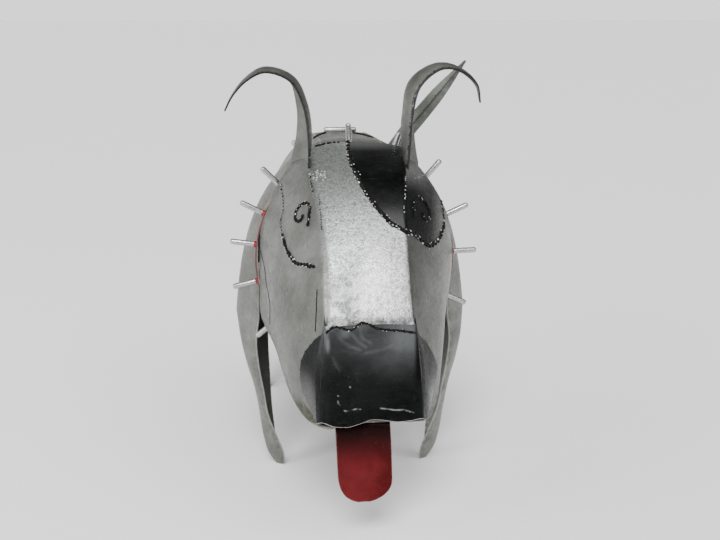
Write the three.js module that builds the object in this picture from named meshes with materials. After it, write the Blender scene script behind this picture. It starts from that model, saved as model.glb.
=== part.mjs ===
// A standing dog welded from galvanised sheet steel, about 0.57 m long.
// Millimetres. The dog faces -Y, +X is its own left side and +Z is up.
// While it is built, y = 0 is the middle of the collar and z = 0 is the ground.
// At the end the whole dog moves so that the origin is under the middle of its box.

import * as THREE from "three";

// Driving dimensions
const SHEET = 1.6; // thickness of every sheet
const SEAM = 2.1; // how far a strip stays inside the edge that its neighbour follows
const ROD = 6.35; // diameter of the round bar in the spikes and across the back
const HEAD_CROWN = 5; // rise of the forehead across its width at the back
const BACK_CROWN = 3; // rise of the back across its width
const BODY_X = 3; // the body stands this far to the dog's left of the head's middle

const COLLAR = { x: 2, z: 264, wide: 112, high: 122, front: -10.8, back: 14.5 };
const SPIKE_LENGTH = 28.5;
const SPIKE_STAND_OFF = 0.4;
const SPIKE_ANGLES = [92.5, 70, 48, 24, 2, -24, -48, -72, -95, -118, -141, -167, 171.5, 153, 135, 117];

const BACK_ROD = { x: -0.5, y: 150, z: 393, length: 41 };
const CROWN_FADE = 0.6; // share of the forehead's rise that is gone at the nose
const NOSE = { bulge: 3, bulgeShift: 0.12, topGap: 2.4 };
const JAW_PLATE = { back: 0.04, front: 0.86, drop: 2.84, sag: 9 };
const TONGUE = { halfWidth: 27.5, hollow: 2, roundFrom: 0.72, rowsBefore: 0.6, turn: 78 };
const EAR_LIFT = 1.8; // gap of the welded ear foot over the head
const EAR_FOOT = 0.2; // share of the ear's length that bends to the head's slope
const HEAD_FALL = 0.94; // fall of the head's side for each millimetre outwards, at the ears

const STEEL = { color: 0xa4a8a6, roughness: 0.42, metalness: 0.85 };
const BRIGHT = { color: 0xc9cdcc, roughness: 0.38, metalness: 0.85 };
const DARK = { color: 0x1d1f20, roughness: 0.3, metalness: 0.2 };
const RED = { color: 0x7c1218, roughness: 0.35, metalness: 0.2 };
const BAR = { color: 0xb8bcbc, roughness: 0.3, metalness: 0.95 };

// Points are [half width, y, z] from the back of the head to the nose
const RIDGE = [
  [52, -6, 390],
  [51, -60, 369],
  [44.2, -110, 333],
  [42.2, -150, 288],
  [43.5, -174, 246],
  [46, -184, 229],
];
const CHEEK = [
  [128, -19, 318],
  [115, -58, 290],
  [98, -100, 258],
  [76, -145, 222],
  [59, -176, 195],
  [49.5, -193, 184],
];
const JAW = [
  [104, -12.5, 197],
  [91, -68, 181],
  [84, -108, 164],
  [75, -145, 147],
  [63, -174, 137],
  [49.6, -200, 139],
];
// Height of the nose plate's lower edge from the dog's right to its left
const LIP = [143, 137.5, 136.5, 139.5, 143.4, 142.5, 140.3, 141, 143.5];

// Front edge of each ear as [x from the middle, z], from the foot to the tip
const EARS = {
  left: [
    [54.5, 374], [57.4, 401.5], [59.8, 428], [68, 457],
    [90.4, 475.3], [113, 473], [129.6, 459], [133.3, 440],
  ],
  right: [
    [50.8, 374], [51, 404], [56.4, 438.6], [69.8, 463.7],
    [95.7, 473.1], [115, 465], [130, 450], [139.3, 433.6],
  ],
};
const EAR_FRONT_Y = -51;
// Section of an ear from foot to tip: depth along y, hollow of the cup, and lean of its back edge
const EAR_DEPTH = [45, 44, 41, 37, 31, 24, 14, 3];
const EAR_CUP = {
  left: [10, 10, 10.5, 11.5, 7, 3, 1, 0.2],
  right: [10, 9.5, 8, 6.5, 5.5, 3, 1, 0.2],
};
const EAR_LEAN = [10, 9, 5, 0, 0, 0, 0, 0];

// Body stations from the collar to the rump: top edge, pull point and lower edge of the side sheet
const BACK_EDGE = [
  [36, 15, 377],
  [35, 50, 388],
  [34, 100, 387.5],
  [34, 170, 385],
  [33, 240, 379],
  [28, 295, 367],
  [18, 335, 349],
  [1.2, 352, 326],
];
const FLANK = [
  [112, 15, 372],
  [124, 50, 358],
  [120, 100, 352],
  [112, 170, 346],
  [103, 240, 338],
  [92, 295, 330],
  [70, 338, 318],
  [4, 353, 285],
];
const BELLY = [
  [110, 15, 191.5],
  [136, 50, 191],
  [120, 102, 191.5],
  [101, 170, 176],
  [108, 240, 197],
  [121, 295, 191.3],
  [84, 338, 198],
  [3, 352, 212],
];

// Leg sections from the body to the ground: front edge, outermost line and rear edge
const LEG_LEVELS = [190.2, 163, 136, 105, 70, 40, 15, 0];
const LEG_ROWS = 14;
const FRONT_LEG = {
  front: [[112.5, 14], [115, 15], [112, 16], [107.5, 18], [101.5, 21], [94, 27], [90.5, 33], [88, 37]],
  outer: [[136.5, 52], [132.5, 46], [126, 43], [118, 41], [111.5, 40], [107.5, 40], [101, 41], [92.5, 43]],
  rear: [[118, 98], [100, 82], [99, 72], [98, 65], [96.5, 60], [93.5, 57], [91, 54], [88.5, 51]],
};
const HIND_LEG = {
  front: [[118, 252], [113, 264], [109, 276], [104, 290], [99, 304], [96, 313], [94, 319], [92, 323]],
  outer: [
    [123.5, 300], [120.5, 306], [117, 312], [112.5, 319],
    [107.5, 325], [104, 328], [101, 331], [97, 333],
  ],
  rear: [[86, 344], [92, 347], [96, 350], [98, 352], [97, 350], [95.5, 347], [94, 344], [93, 342]],
};

// Middle line of the tail from the rump to the tip, and its half width
const TAIL = [
  [3, 353.3, 322],
  [42, 366, 316],
  [84, 364, 332],
  [122, 352, 379],
  [156, 346, 421],
  [195, 343, 469],
];
const TAIL_HALF_WIDTH = [6, 8, 9.5, 10.4, 7.8, 1.8];
const TAIL_FOLD = 0.35; // depth of the fold for each millimetre of half width

const TONGUE_LINE = [
  [-8.5, -163, 146],
  [-8.5, -180, 142.5],
  [-8.5, -191, 134],
  [-7.5, -192.5, 112],
  [-6, -188, 84],
  [-4.5, -182, 62],
  [-5.5, -177, 45.5],
];

// Small helpers

function curve(points) {
  const vectors = points.map(([x, y, z]) => new THREE.Vector3(x, y, z));
  const line = new THREE.CatmullRomCurve3(vectors);
  return (t) => line.getPoint(THREE.MathUtils.clamp(t, 0, 1));
}

function profile(values) {
  const line = curve(values.map((value, i) => [i, value, 0]));
  return (t) => line(t).y;
}

function bow(start, pull, end, t) {
  const p = start.clone().multiplyScalar((1 - t) * (1 - t));
  p.addScaledVector(pull, 2 * t * (1 - t));
  return p.addScaledVector(end, t * t);
}

function bowThrough(start, middle, end, t) {
  const pull = middle.clone().multiplyScalar(2);
  pull.addScaledVector(start, -0.5);
  pull.addScaledVector(end, -0.5);
  return bow(start, pull, end, t);
}

// A closed sheet of even thickness under a surface(u, v), grown towards the given point
function sheetGeometry(surface, columns, rows, toward) {
  const step = 0.002;
  const normalAt = (u, v) => {
    const u0 = Math.max(u - step, 0);
    const u1 = Math.min(u + step, 1);
    const v0 = Math.max(v - step, 0);
    const v1 = Math.min(v + step, 1);
    const along = surface(u1, v).sub(surface(u0, v));
    const across = surface(u, v1).sub(surface(u, v0));
    return along.cross(across).normalize();
  };
  const middle = surface(0.5, 0.5);
  const facing = normalAt(0.5, 0.5).dot(toward.clone().sub(middle)) > 0 ? 1 : -1;
  const positions = [];
  for (const depth of [0, SHEET * facing]) {
    for (let i = 0; i <= columns; i += 1) {
      for (let j = 0; j <= rows; j += 1) {
        const u = i / columns;
        const v = j / rows;
        const point = surface(u, v).addScaledVector(normalAt(u, v), depth);
        positions.push(point.x, point.y, point.z);
      }
    }
  }
  const index = [];
  const at = (layer, i, j) => (layer * (columns + 1) + i) * (rows + 1) + j;
  const quad = (a, b, c, d) => {
    const faces = facing < 0 ? [a, b, c, a, c, d] : [a, c, b, a, d, c];
    index.push(...faces);
  };
  for (let i = 0; i < columns; i += 1) {
    for (let j = 0; j < rows; j += 1) {
      quad(at(0, i, j), at(0, i + 1, j), at(0, i + 1, j + 1), at(0, i, j + 1));
      quad(at(1, i, j), at(1, i, j + 1), at(1, i + 1, j + 1), at(1, i + 1, j));
    }
    quad(at(0, i, 0), at(1, i, 0), at(1, i + 1, 0), at(0, i + 1, 0));
    quad(at(0, i, rows), at(0, i + 1, rows), at(1, i + 1, rows), at(1, i, rows));
  }
  for (let j = 0; j < rows; j += 1) {
    quad(at(0, 0, j), at(0, 0, j + 1), at(1, 0, j + 1), at(1, 0, j));
    quad(at(0, columns, j), at(1, columns, j), at(1, columns, j + 1), at(0, columns, j + 1));
  }
  const geometry = new THREE.BufferGeometry();
  geometry.setAttribute("position", new THREE.Float32BufferAttribute(positions, 3));
  geometry.setIndex(index);
  geometry.computeVertexNormals();
  return geometry;
}

function piece(name, geometry, finish) {
  const mesh = new THREE.Mesh(geometry, new THREE.MeshStandardMaterial(finish));
  mesh.name = name;
  return mesh;
}

// Head

const ridge = curve(RIDGE);
const cheek = curve(CHEEK);
const jaw = curve(JAW);

function headSide(name, side) {
  const surface = (u, v) => {
    const p = bow(ridge(u), cheek(u), jaw(u), v);
    p.x *= side;
    return p;
  };
  return piece(name, sheetGeometry(surface, 14, 9, new THREE.Vector3(0, -90, 250)), STEEL);
}

function headStrip() {
  const end = 0.985;
  const surface = (u, v) => {
    const p = ridge(v * end);
    const q = 2 * u - 1;
    p.z += HEAD_CROWN * (1 - CROWN_FADE * v) * (1 - q * q);
    p.x = q * (p.x - SEAM);
    return p;
  };
  return piece("head_centre_strip", sheetGeometry(surface, 6, 14, new THREE.Vector3(0, -60, 250)), BRIGHT);
}

function nosePlate() {
  const lip = profile(LIP);
  const top = ridge(1);
  const bottom = jaw(1);
  const surface = (u, v) => {
    const q = 2 * u - 1;
    const p = top.clone().lerp(bottom, v);
    p.x = q * (p.x - SEAM);
    p.y -= NOSE.bulge * (1 - q * q) * Math.sin(Math.PI * Math.min(v + NOSE.bulgeShift, 1));
    p.z = THREE.MathUtils.lerp(top.z - NOSE.topGap, lip(u), v);
    return p;
  };
  return piece("nose_plate", sheetGeometry(surface, 12, 6, new THREE.Vector3(0, -100, 190)), DARK);
}

function lowerJaw() {
  const { smoothstep } = THREE.MathUtils;
  const surface = (u, v) => {
    const s = THREE.MathUtils.lerp(JAW_PLATE.back, JAW_PLATE.front, v);
    const p = jaw(s);
    const q = 2 * u - 1;
    const sag = JAW_PLATE.sag * smoothstep(s, 0.45, 0.8) * smoothstep(Math.abs(q), 0.4, 0.72);
    p.z -= JAW_PLATE.drop + sag * (1 - q ** 6);
    p.x *= q;
    return p;
  };
  return piece("lower_jaw", sheetGeometry(surface, 12, 6, new THREE.Vector3(0, -90, 300)), STEEL);
}

function tongue() {
  const line = curve(TONGUE_LINE);
  const fullTurn = THREE.MathUtils.degToRad(TONGUE.turn);
  const surface = (u, v) => {
    const q = 2 * u - 1;
    const straight = Math.min(v / TONGUE.rowsBefore, 1);
    const turn = (fullTurn * Math.max(v - TONGUE.rowsBefore, 0)) / (1 - TONGUE.rowsBefore);
    const rounded = Math.sin(turn) / Math.sin(fullTurn);
    const p = line(TONGUE.roundFrom * straight + (1 - TONGUE.roundFrom) * rounded);
    p.x += q * TONGUE.halfWidth * Math.cos(turn);
    p.y += TONGUE.hollow * (1 - q * q) * Math.cos(turn);
    return p;
  };
  return piece("tongue", sheetGeometry(surface, 6, 14, new THREE.Vector3(0, 0, 90)), RED);
}

function ear(name, side, frontEdge, cups) {
  const edge = curve(frontEdge.map(([x, z]) => [x, EAR_FRONT_Y, z]));
  const depth = profile(EAR_DEPTH);
  const cup = profile(cups);
  const lean = profile(EAR_LEAN);
  const headTop = (x, y) => {
    const back = RIDGE[0][1];
    const next = RIDGE[1][1];
    const p = ridge((y - back) / (next - back) / (RIDGE.length - 1));
    return p.z - Math.max(0, x - p.x) * HEAD_FALL + EAR_LIFT;
  };
  const surface = (u, v) => {
    const p = edge(v);
    const ahead = edge(Math.min(v + 0.01, 1)).sub(edge(Math.max(v - 0.01, 0))).normalize();
    const rise = 4 * cup(v) * u * (1 - u) - lean(v) * u;
    p.x -= ahead.z * rise;
    p.z += ahead.x * rise;
    p.y += depth(v) * u;
    const foot = Math.max(0, 1 - v / EAR_FOOT);
    p.z += (headTop(p.x, p.y) - frontEdge[0][1]) * foot;
    p.x *= side;
    return p;
  };
  const outside = new THREE.Vector3(side * 100, -30, 440);
  return piece(name, sheetGeometry(surface, 5, 20, outside), STEEL);
}

// Collar with its spikes

function collarBand() {
  const outline = new THREE.Shape();
  outline.absellipse(0, 0, COLLAR.wide, COLLAR.high, 0, 2 * Math.PI);
  const hole = new THREE.Path();
  hole.absellipse(0, 0, COLLAR.wide - SHEET, COLLAR.high - SHEET, 0, 2 * Math.PI);
  outline.holes.push(hole);
  const width = COLLAR.back - COLLAR.front;
  const options = { depth: width, bevelEnabled: false, curveSegments: 40 };
  const geometry = new THREE.ExtrudeGeometry(outline, options);
  geometry.rotateX(Math.PI / 2);
  const mesh = piece("collar_band", geometry, RED);
  mesh.position.set(COLLAR.x, COLLAR.back, COLLAR.z);
  return mesh;
}

function barGeometry(length, domedFoot) {
  const r = ROD / 2;
  const dome = [
    [r, length - 0.75 * r],
    [0.72 * r, length - 0.2 * r],
    [0, length],
  ];
  const foot = domedFoot ? [[0, 0], [0.72 * r, 0.2 * r], [r, 0.75 * r]] : [[0, 0], [r, 0]];
  const points = [...foot, ...dome].map(([x, y]) => new THREE.Vector2(x, y));
  return new THREE.LatheGeometry(points, 8);
}

function spike(number, degrees) {
  const angle = THREE.MathUtils.degToRad(degrees);
  const radius = 1 / Math.hypot(Math.cos(angle) / COLLAR.wide, Math.sin(angle) / COLLAR.high);
  const start = radius + SPIKE_STAND_OFF;
  const label = String(number).padStart(2, "0");
  const mesh = piece(`collar_spike_${label}`, barGeometry(SPIKE_LENGTH, false), BAR);
  mesh.position.set(COLLAR.x + start * Math.cos(angle), 0, COLLAR.z + start * Math.sin(angle));
  const out = new THREE.Vector3(Math.cos(angle), 0, Math.sin(angle));
  mesh.quaternion.setFromUnitVectors(new THREE.Vector3(0, 1, 0), out);
  return mesh;
}

// Body

const backEdge = curve(BACK_EDGE);
const flank = curve(FLANK);
const belly = curve(BELLY);

function bodySide(name, side) {
  const surface = (u, v) => {
    const p = bow(backEdge(u), flank(u), belly(u), v);
    p.x *= side;
    return p;
  };
  return piece(name, sheetGeometry(surface, 20, 8, new THREE.Vector3(0, 170, 250)), STEEL);
}

function backStrip() {
  const end = 0.93;
  const surface = (u, v) => {
    const q = 2 * u - 1;
    const p = backEdge(v * end);
    p.z += BACK_CROWN * (1 - q * q);
    p.x = q * (p.x - SEAM);
    return p;
  };
  return piece("back_strip", sheetGeometry(surface, 4, 16, new THREE.Vector3(0, 170, 200)), STEEL);
}

function backRod() {
  const geometry = barGeometry(BACK_ROD.length, true);
  geometry.translate(0, -BACK_ROD.length / 2, 0);
  const mesh = piece("back_rod", geometry, BAR);
  mesh.rotation.z = Math.PI / 2;
  mesh.position.set(BACK_ROD.x, BACK_ROD.y, BACK_ROD.z);
  return mesh;
}

function leg(name, side, sections) {
  const level = (points) => curve(points.map(([x, y], i) => [x, y, LEG_LEVELS[i]]));
  const front = level(sections.front);
  const outer = level(sections.outer);
  const rear = level(sections.rear);
  const surface = (u, v) => {
    const p = bowThrough(front(v), outer(v), rear(v), u);
    p.x *= side;
    return p;
  };
  const inside = new THREE.Vector3(0, outer(0.5).y, 90);
  const geometry = sheetGeometry(surface, 6, LEG_ROWS, inside);
  // The end of the sheet is cut level with the ground
  const place = geometry.getAttribute("position");
  for (let i = LEG_ROWS; i < place.count; i += LEG_ROWS + 1) place.setZ(i, 0);
  return piece(name, geometry, STEEL);
}

function tail() {
  const line = curve(TAIL);
  const half = profile(TAIL_HALF_WIDTH);
  const surface = (u, v) => {
    const q = 2 * u - 1;
    const ahead = line(Math.min(v + 0.01, 1)).sub(line(Math.max(v - 0.01, 0)));
    const sideways = ahead.cross(new THREE.Vector3(0, 1, 0)).normalize();
    const p = line(v).addScaledVector(sideways, q * half(v));
    p.y += TAIL_FOLD * Math.abs(q) * half(v);
    return p;
  };
  return piece("tail", sheetGeometry(surface, 4, 14, new THREE.Vector3(80, 900, 400)), STEEL);
}

// The whole dog

const head = new THREE.Group();
head.add(headStrip(), headSide("head_left_side", 1), headSide("head_right_side", -1));
head.add(nosePlate(), lowerJaw(), tongue());
head.add(ear("left_ear", 1, EARS.left, EAR_CUP.left), ear("right_ear", -1, EARS.right, EAR_CUP.right));

const collar = new THREE.Group();
collar.add(collarBand());
SPIKE_ANGLES.forEach((degrees, i) => collar.add(spike(i + 1, degrees)));

const body = new THREE.Group();
body.position.x = BODY_X;
body.add(backStrip(), bodySide("body_left_side", 1), bodySide("body_right_side", -1));
body.add(leg("left_front_leg", 1, FRONT_LEG), leg("right_front_leg", -1, FRONT_LEG));
body.add(leg("left_hind_leg", 1, HIND_LEG), leg("right_hind_leg", -1, HIND_LEG));

const dog = new THREE.Group();
dog.add(head, collar, body, backRod(), tail());

const box = new THREE.Box3().setFromObject(dog);
const middle = box.getCenter(new THREE.Vector3());
dog.position.set(-middle.x, -middle.y, -box.min.z);

export default dog;
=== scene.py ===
# Looks of a standing dog welded from galvanised sheet steel, on a pale floor in soft light.
# The lists of points are millimetres in the frame in which the dog is built: y = 0 is the
# middle of the collar and z = 0 is the ground. SHIFT brings them into the frame of the solids.

import math
import random

import bmesh
import bpy
from mathutils import Euler, Matrix, Vector, noise
from mathutils.bvhtree import BVHTree
from mathutils.kdtree import KDTree


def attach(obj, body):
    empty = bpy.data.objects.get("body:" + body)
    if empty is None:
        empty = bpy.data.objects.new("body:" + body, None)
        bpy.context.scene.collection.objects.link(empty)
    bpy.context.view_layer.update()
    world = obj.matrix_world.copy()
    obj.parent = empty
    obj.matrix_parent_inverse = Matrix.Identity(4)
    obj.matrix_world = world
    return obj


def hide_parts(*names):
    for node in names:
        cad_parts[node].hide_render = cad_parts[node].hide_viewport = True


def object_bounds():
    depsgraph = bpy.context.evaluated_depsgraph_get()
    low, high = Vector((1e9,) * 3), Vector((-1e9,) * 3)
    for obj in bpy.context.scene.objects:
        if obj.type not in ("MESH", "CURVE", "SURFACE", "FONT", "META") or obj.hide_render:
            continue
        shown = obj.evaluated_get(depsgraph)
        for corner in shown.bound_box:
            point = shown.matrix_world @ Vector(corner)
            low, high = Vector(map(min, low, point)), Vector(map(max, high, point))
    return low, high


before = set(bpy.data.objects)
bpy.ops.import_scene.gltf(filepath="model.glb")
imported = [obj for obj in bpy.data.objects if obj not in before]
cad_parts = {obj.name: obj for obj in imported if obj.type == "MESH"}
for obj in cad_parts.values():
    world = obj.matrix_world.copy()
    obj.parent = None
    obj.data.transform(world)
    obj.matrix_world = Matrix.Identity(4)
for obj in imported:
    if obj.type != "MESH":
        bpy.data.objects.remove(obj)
cad_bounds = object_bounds()

# Sizes are millimetres. A pair of numbers is where a soft change starts and where it ends.
MM = 0.001
SHIFT = Vector((-28.464553833, -85.589691162, 0.0))
SHEET = 1.6
ROD = 6.35
FAR = 99.0
FAR_OUTSIDE = -60.0
dice = random.Random(7)

# Head, from the crown to the nose: fold beside the strip, pull of the cheek's curve, lower edge
RIDGE = [
    (52, -6, 390), (51, -60, 369), (44.2, -110, 333),
    (42.2, -150, 288), (43.5, -174, 246), (46, -184, 229),
]
CHEEK = [
    (128, -19, 318), (115, -58, 290), (98, -100, 258),
    (76, -145, 222), (59, -176, 195), (49.5, -193, 184),
]
JAW = [
    (104, -12.5, 197), (91, -68, 181), (84, -108, 164),
    (75, -145, 147), (63, -174, 137), (49.6, -200, 139),
]
HEAD_END = 0.975
HEAD_CROWN = 5.0
CROWN_FADE = 0.6
HEAD_DENTS = {"height": 0.3, "size": 38}
# Left and right mirror each other by sign, but for these: the folds and the rim at the back
FOLD_RADIUS = {-1: (5.0, 11.0), 1: (3.5, 3.5)}
FOLD_WIDENS = (0.3, 0.8)
RIM_SPREAD = {-1: -2.4, 1: 4.5}
RIM_PINCH = {-1: 3.5, 1: 0.0}
RIM_PINCH_LOW = (0.45, 0.75)
RIM_PINCH_END = (0.0, 0.2)
RIM_REACH = (0.3, 0.0)
HEAD_STEPS = {"along": 112, "side": 38, "fold": 6, "strip": 14, "closer_to_fold": 1.25}
SNOUT_FROM = 0.55
PATCH_REACH = {"x": -20, "z": 205, "s": 0.85}

# Nose front and the plate under the jaw
LIP = [143, 137.5, 136.5, 139.5, 143.4, 142.5, 140.3, 141, 143.5]
NOSE = {
    "fold": 5.5, "cover": 0.45, "bulge": 3, "back": 0.93, "wraps": (11, 8), "tuck": Vector((0, 2.4, 4.6)),
    "rows": 64, "side_steps": 26, "fold_steps": 7,
}
NOSE_LIP_TURNS = [Vector((0, 0.5, -0.9)), Vector((0, 2.6, -1.7))]
CRUMPLE = {"fold_size": 11, "fold_depth": 0.7, "wave_size": 26, "wave_depth": 0.9}
JAW_PLATE = {
    "back": 0.04, "front": 0.93, "drop": 1.2, "sag": 9.0, "less_sag_left": (0.0, 0.5, 0.8),
    "sag_beside": (0.4, 0.72), "sag_ahead": (0.45, 0.8), "sag_ends": (1.0, 0.86),
}

# Ears: outer edges in x and z from the foot to the tip, then values from foot to tip
EARS = {
    "left": [
        (54.5, 374), (57.4, 401.5), (59.8, 428), (68, 457),
        (90.4, 475.3), (113, 473), (129.6, 459), (133.3, 440),
    ],
    "right": [
        (50.8, 374), (51, 404), (56.4, 438.6), (69.8, 463.7),
        (95.7, 473.1), (115, 465), (130, 450), (139.3, 433.6),
    ],
}
EAR_FRONT_Y = -51.0
EAR_DEPTH = [45, 44, 41, 37, 31, 24, 14, 3]
EAR_CUP = {
    "left": [14.5, 13, 11.5, 11.5, 7, 3, 1, 0.2],
    "right": [10, 9.5, 8, 6.5, 5.5, 3, 1, 0.2],
}
EAR_LEAN = [10, 9, 5, 0, 0, 0, 0, 0]
EAR_LIFT = -2.0
EAR_SINK = 5.0
ABOVE_HEAD = 450
EAR_FOOT = 0.2
EAR_FRONT_SHARE = 0.4
EAR_FLARE = 9.0
EAR_FLARE_FROM = 0.24

RUMP_WELD = {
    "beads": 46, "from": 0.06, "share": 0.93, "sunk": 1.0, "length": 2.4, "overlap": 1.4, "height": 1.7,
}
# Painted glints a bead may get, at most
GLINTS_A_BEAD = 2

COLLAR = {"x": 2.0, "z": 264.0, "wide": 112.0, "high": 122.0, "front": -10.8, "back": 14.5}
SPIKE_LENGTH = 28.5
SPIKE_SUNK = 0.3
SPIKE_ANGLES = [92.5, 70, 48, 24, 2, -24, -48, -72, -95, -118, -141, -167, 171.5, 153, 135, 117]
BAR_SIDES = 20
DOME_FLATNESS = 0.8
BACK_ROD = {"x": -0.5, "y": 150.0, "z": 392.6, "length": 41.0}

# Body sides from the collar to the rump: edge at the back strip, pull of the flank, lower edge
BODY_X = 3.0
BACK_CROWN = 3.0
BACK_SUNK = 0.3
BACK_END = 0.95
BODY_DENTS = {"height": 0.7, "size": 48}
BACK_EDGE = [
    (36, 15, 377), (35, 50, 388), (34, 100, 387.5), (34, 170, 385),
    (33, 240, 379), (28, 295, 367), (18, 335, 349), (1.2, 352, 326),
]
FLANK = [
    (112, 15, 372), (124, 50, 358), (120, 100, 352), (112, 170, 346),
    (103, 240, 338), (92, 295, 330), (70, 338, 318), (4, 353, 285),
]
BELLY = [
    (110, 15, 191.5), (136, 50, 191), (120, 102, 191.5), (101, 170, 176),
    (108, 240, 197), (121, 295, 191.3), (84, 338, 198), (3, 352, 212),
]

# Legs: x and y of the trough's front, middle and rear at each level, and the body columns above
LEG_LEVELS = [190.2, 163, 136, 105, 70, 40, 15, 0]
LEG_BLEND = (0.0, 0.34)
FRONT_LEG = {
    "front": [
        (112.5, 14), (115, 15), (112, 16), (107.5, 18), (101.5, 21), (91, 26), (83, 31), (83.5, 36),
    ],
    "outer": [
        (136.5, 52), (132.5, 46), (126, 43), (118, 41), (111.5, 40), (107.5, 40), (101, 41), (92.5, 43),
    ],
    "rear": [(118, 98), (100, 82), (99, 72), (98, 65), (96.5, 60), (93.5, 57), (91, 54), (88.5, 51)],
}
HIND_LEG = {
    "front": [
        (118, 252), (113, 264), (109, 276), (104, 290), (99, 304), (96, 313), (94, 319), (92, 323),
    ],
    "outer": [
        (123.5, 300), (120.5, 306), (117, 312), (112.5, 319),
        (107.5, 325), (104, 328), (101, 331), (97, 333),
    ],
    "rear": [(86, 344), (92, 347), (96, 350), (98, 352), (97, 350), (95.5, 347), (94, 344), (93, 342)],
}
BODY_COLUMNS = 84
LEG_COLUMNS = {"front": (0, 24), "hind": (51, 73)}

TAIL = [
    (3, 353.3, 322), (42, 366, 316), (84, 364, 332), (122, 352, 379), (156, 346, 421), (195, 343, 469),
]
TAIL_HALF_WIDTH = [6, 8, 9.8, 11.6, 10.2, 1.8]
TAIL_FOLD = 0.35
TONGUE_LINE = [
    (-8.5, -163, 146), (-8.5, -180, 142.5), (-8.5, -191, 134), (-7.5, -192.5, 112),
    (-6, -188, 84), (-4.5, -182, 62), (-5.5, -177, 45.5),
]
TONGUE = {"half": 27.5, "hollow": 2.0, "round_from": 0.72, "straight": 0.6, "turn": math.radians(78)}
TONGUE_WAVES = {"height": 0.7, "size": 22}
# Painted shadow of the nose on the tongue's top, between these heights
TONGUE_NOSE_SHADOW = (78, 130)

# Light: strengths, directions that the light comes from, and the even wall behind
WALL_LEVEL = 1.49
KEY_SUN = {"comes_from": (-0.16, -0.70, 0.74), "strength": 3.3, "angle": 24}
FILL_SUN = {"comes_from": (0.42, -0.60, 0.85), "strength": 1.9, "angle": 60}
WINDOW = {"at": (-1.7, -1.1, 0.95), "toward": (0, -0.1, 0.25), "size": (0.7, 1.3), "power": 19}
# Each is a direction's part at both ends of a change and the share of light at each end
SKY = {"Z": (0.12, 0.7, 1.35, 0.42), "Y": (-0.95, -0.5, 0.15, 1.0), "X": (-0.9, 0.9, 1.15, 0.24)}
FLOOR_COLOUR = (0.95, 0.95, 0.955, 1)
FLOOR_HALF = 150

# Places in the photograph, in pixels from its top left corner, with left and right as it shows them
CAMERA_AT = Vector((-0.14736, -1.29989, 0.530))
CAMERA_TURN = Euler((math.radians(77), 0, math.radians(-6)))
FOCAL_PIXELS = 1100.0
FRAME_MIDDLE = (360.0, 270.0)
SENSOR = 36

PATCH_EDGE = [
    (348, 142), (348, 148), (349, 156), (353, 167), (360, 181), (364, 189), (371, 200), (378, 209),
    (385, 217), (392, 224), (400, 228), (406, 232), (412, 233), (417, 237), (421, 240), (425, 244),
    (430, 246), (434, 244), (439, 239), (442, 231), (444, 226), (444, 217), (443, 209), (440, 196),
    (437, 188), (433, 181), (421, 156),
]
PATCH_TOP = [(415, 143), (395, 140), (380, 139), (363, 137), (350, 136)]
NOSE_EDGE = [
    (323, 333), (327, 331), (336, 326), (344, 328), (352, 329), (358, 324), (362, 322), (368, 323),
    (376, 327), (390, 329), (403, 330), (416, 332), (426, 341), (434, 355), (438, 367), (432, 400),
    (424, 440), (323, 440), (310, 409), (302, 391), (300, 379),
    (299.5, 368), (301, 360), (305, 351), (314, 340),
]
LEFT_EYE = [
    (308, 204), (305, 203), (300, 206), (296, 212),
    (295, 218), (297, 221), (299.5, 221), (302.5, 217.5),
    (302.5, 214),
]
LEFT_EYE_TICK = [(310, 208), (308.7, 217), (308, 226)]
RIGHT_EYE = [
    (415, 217), (414, 209), (414, 204), (416, 200), (419, 198), (423, 199), (426, 204), (428.5, 209),
    (430, 214), (429, 218), (426, 219.5), (424, 217), (423, 213),
]
CHEEK_LINE_THIN = [(281, 186), (283.5, 204), (282, 215), (280.6, 222), (282.5, 235)]
CHEEK_LINE = [(282.5, 235), (286, 247), (291, 257), (296, 263), (305, 265), (314, 267)]
REAR_RIM = [(316, 146), (326, 143.6), (336, 142.2), (344, 141.8)]
NOSE_SEAM = [
    (327, 332), (331, 329), (336, 327), (344, 329), (352, 330), (358, 325), (362, 323), (368, 324),
    (376, 328), (390, 330), (403, 331), (416, 333),
]
RIGHT_RIDGE = [(405.5, 171), (405.5, 183), (405.5, 195), (404.3, 205), (404, 217)]
LEFT_RIDGE = [(309.7, 150), (309.5, 158), (309.5, 166), (310, 174), (311, 184), (313, 192)]
LEFT_RIDGE_LOW = [(319, 195), (320, 207), (321, 218), (321.5, 230)]
LEFT_RIDGE_SPATTER = [
    (311, 174), (314, 180), (316, 171), (318, 179), (321, 172), (323, 177), (326, 173), (325, 179),
]
# Dark lines of painted shade under the back rod's ends and along the back's edge
BACK_EDGES = [
    [(314, 138), (318, 135.6), (325, 133)],
    [(354, 133.4), (362, 134.6), (372, 137.2)],
]
# Dark lines of painted shade in creases and in the gap at the collar
SHEET_CREASES = [
    [(258, 238), (258.5, 245), (261, 252), (264, 265), (267, 287), (270, 303), (270, 324)],
    [(317, 290), (316.6, 300), (316, 315), (315.5, 332)],
    [(262, 171), (270, 162), (279, 153), (286, 147)],
    [(404.6, 176), (404.5, 190), (404, 200)],
]
COLLAR_GAP = [(262.3, 216), (260.2, 227), (259.2, 238), (258.9, 250), (258.9, 262)]
NOSE_WRINKLES = [
    [(337, 334), (342, 341), (350, 346), (360, 350)],
    [(352, 334), (358, 342), (366, 347)],
    [(360, 330), (362, 338), (371, 343)],
    [(366, 353), (375, 351.5), (384, 349), (391, 346)],
    [(333, 358), (336, 365), (339, 370)],
]
NOSE_SCRATCHES = [
    [(337.5, 400.5), (338, 403)],
    [(340.2, 405), (340.6, 406.4)],
    [(338.2, 395.5), (338.4, 396.6)],
    [(349, 376.5), (349.3, 378)],
    [(350, 387), (350.4, 388)],
    [(345.5, 411.5), (346, 412)],
    [(344, 411), (352, 409.5), (361, 409)],
    [(380, 408), (388, 409.5), (398, 410), (405, 410), (413, 412.5)],
]
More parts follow.
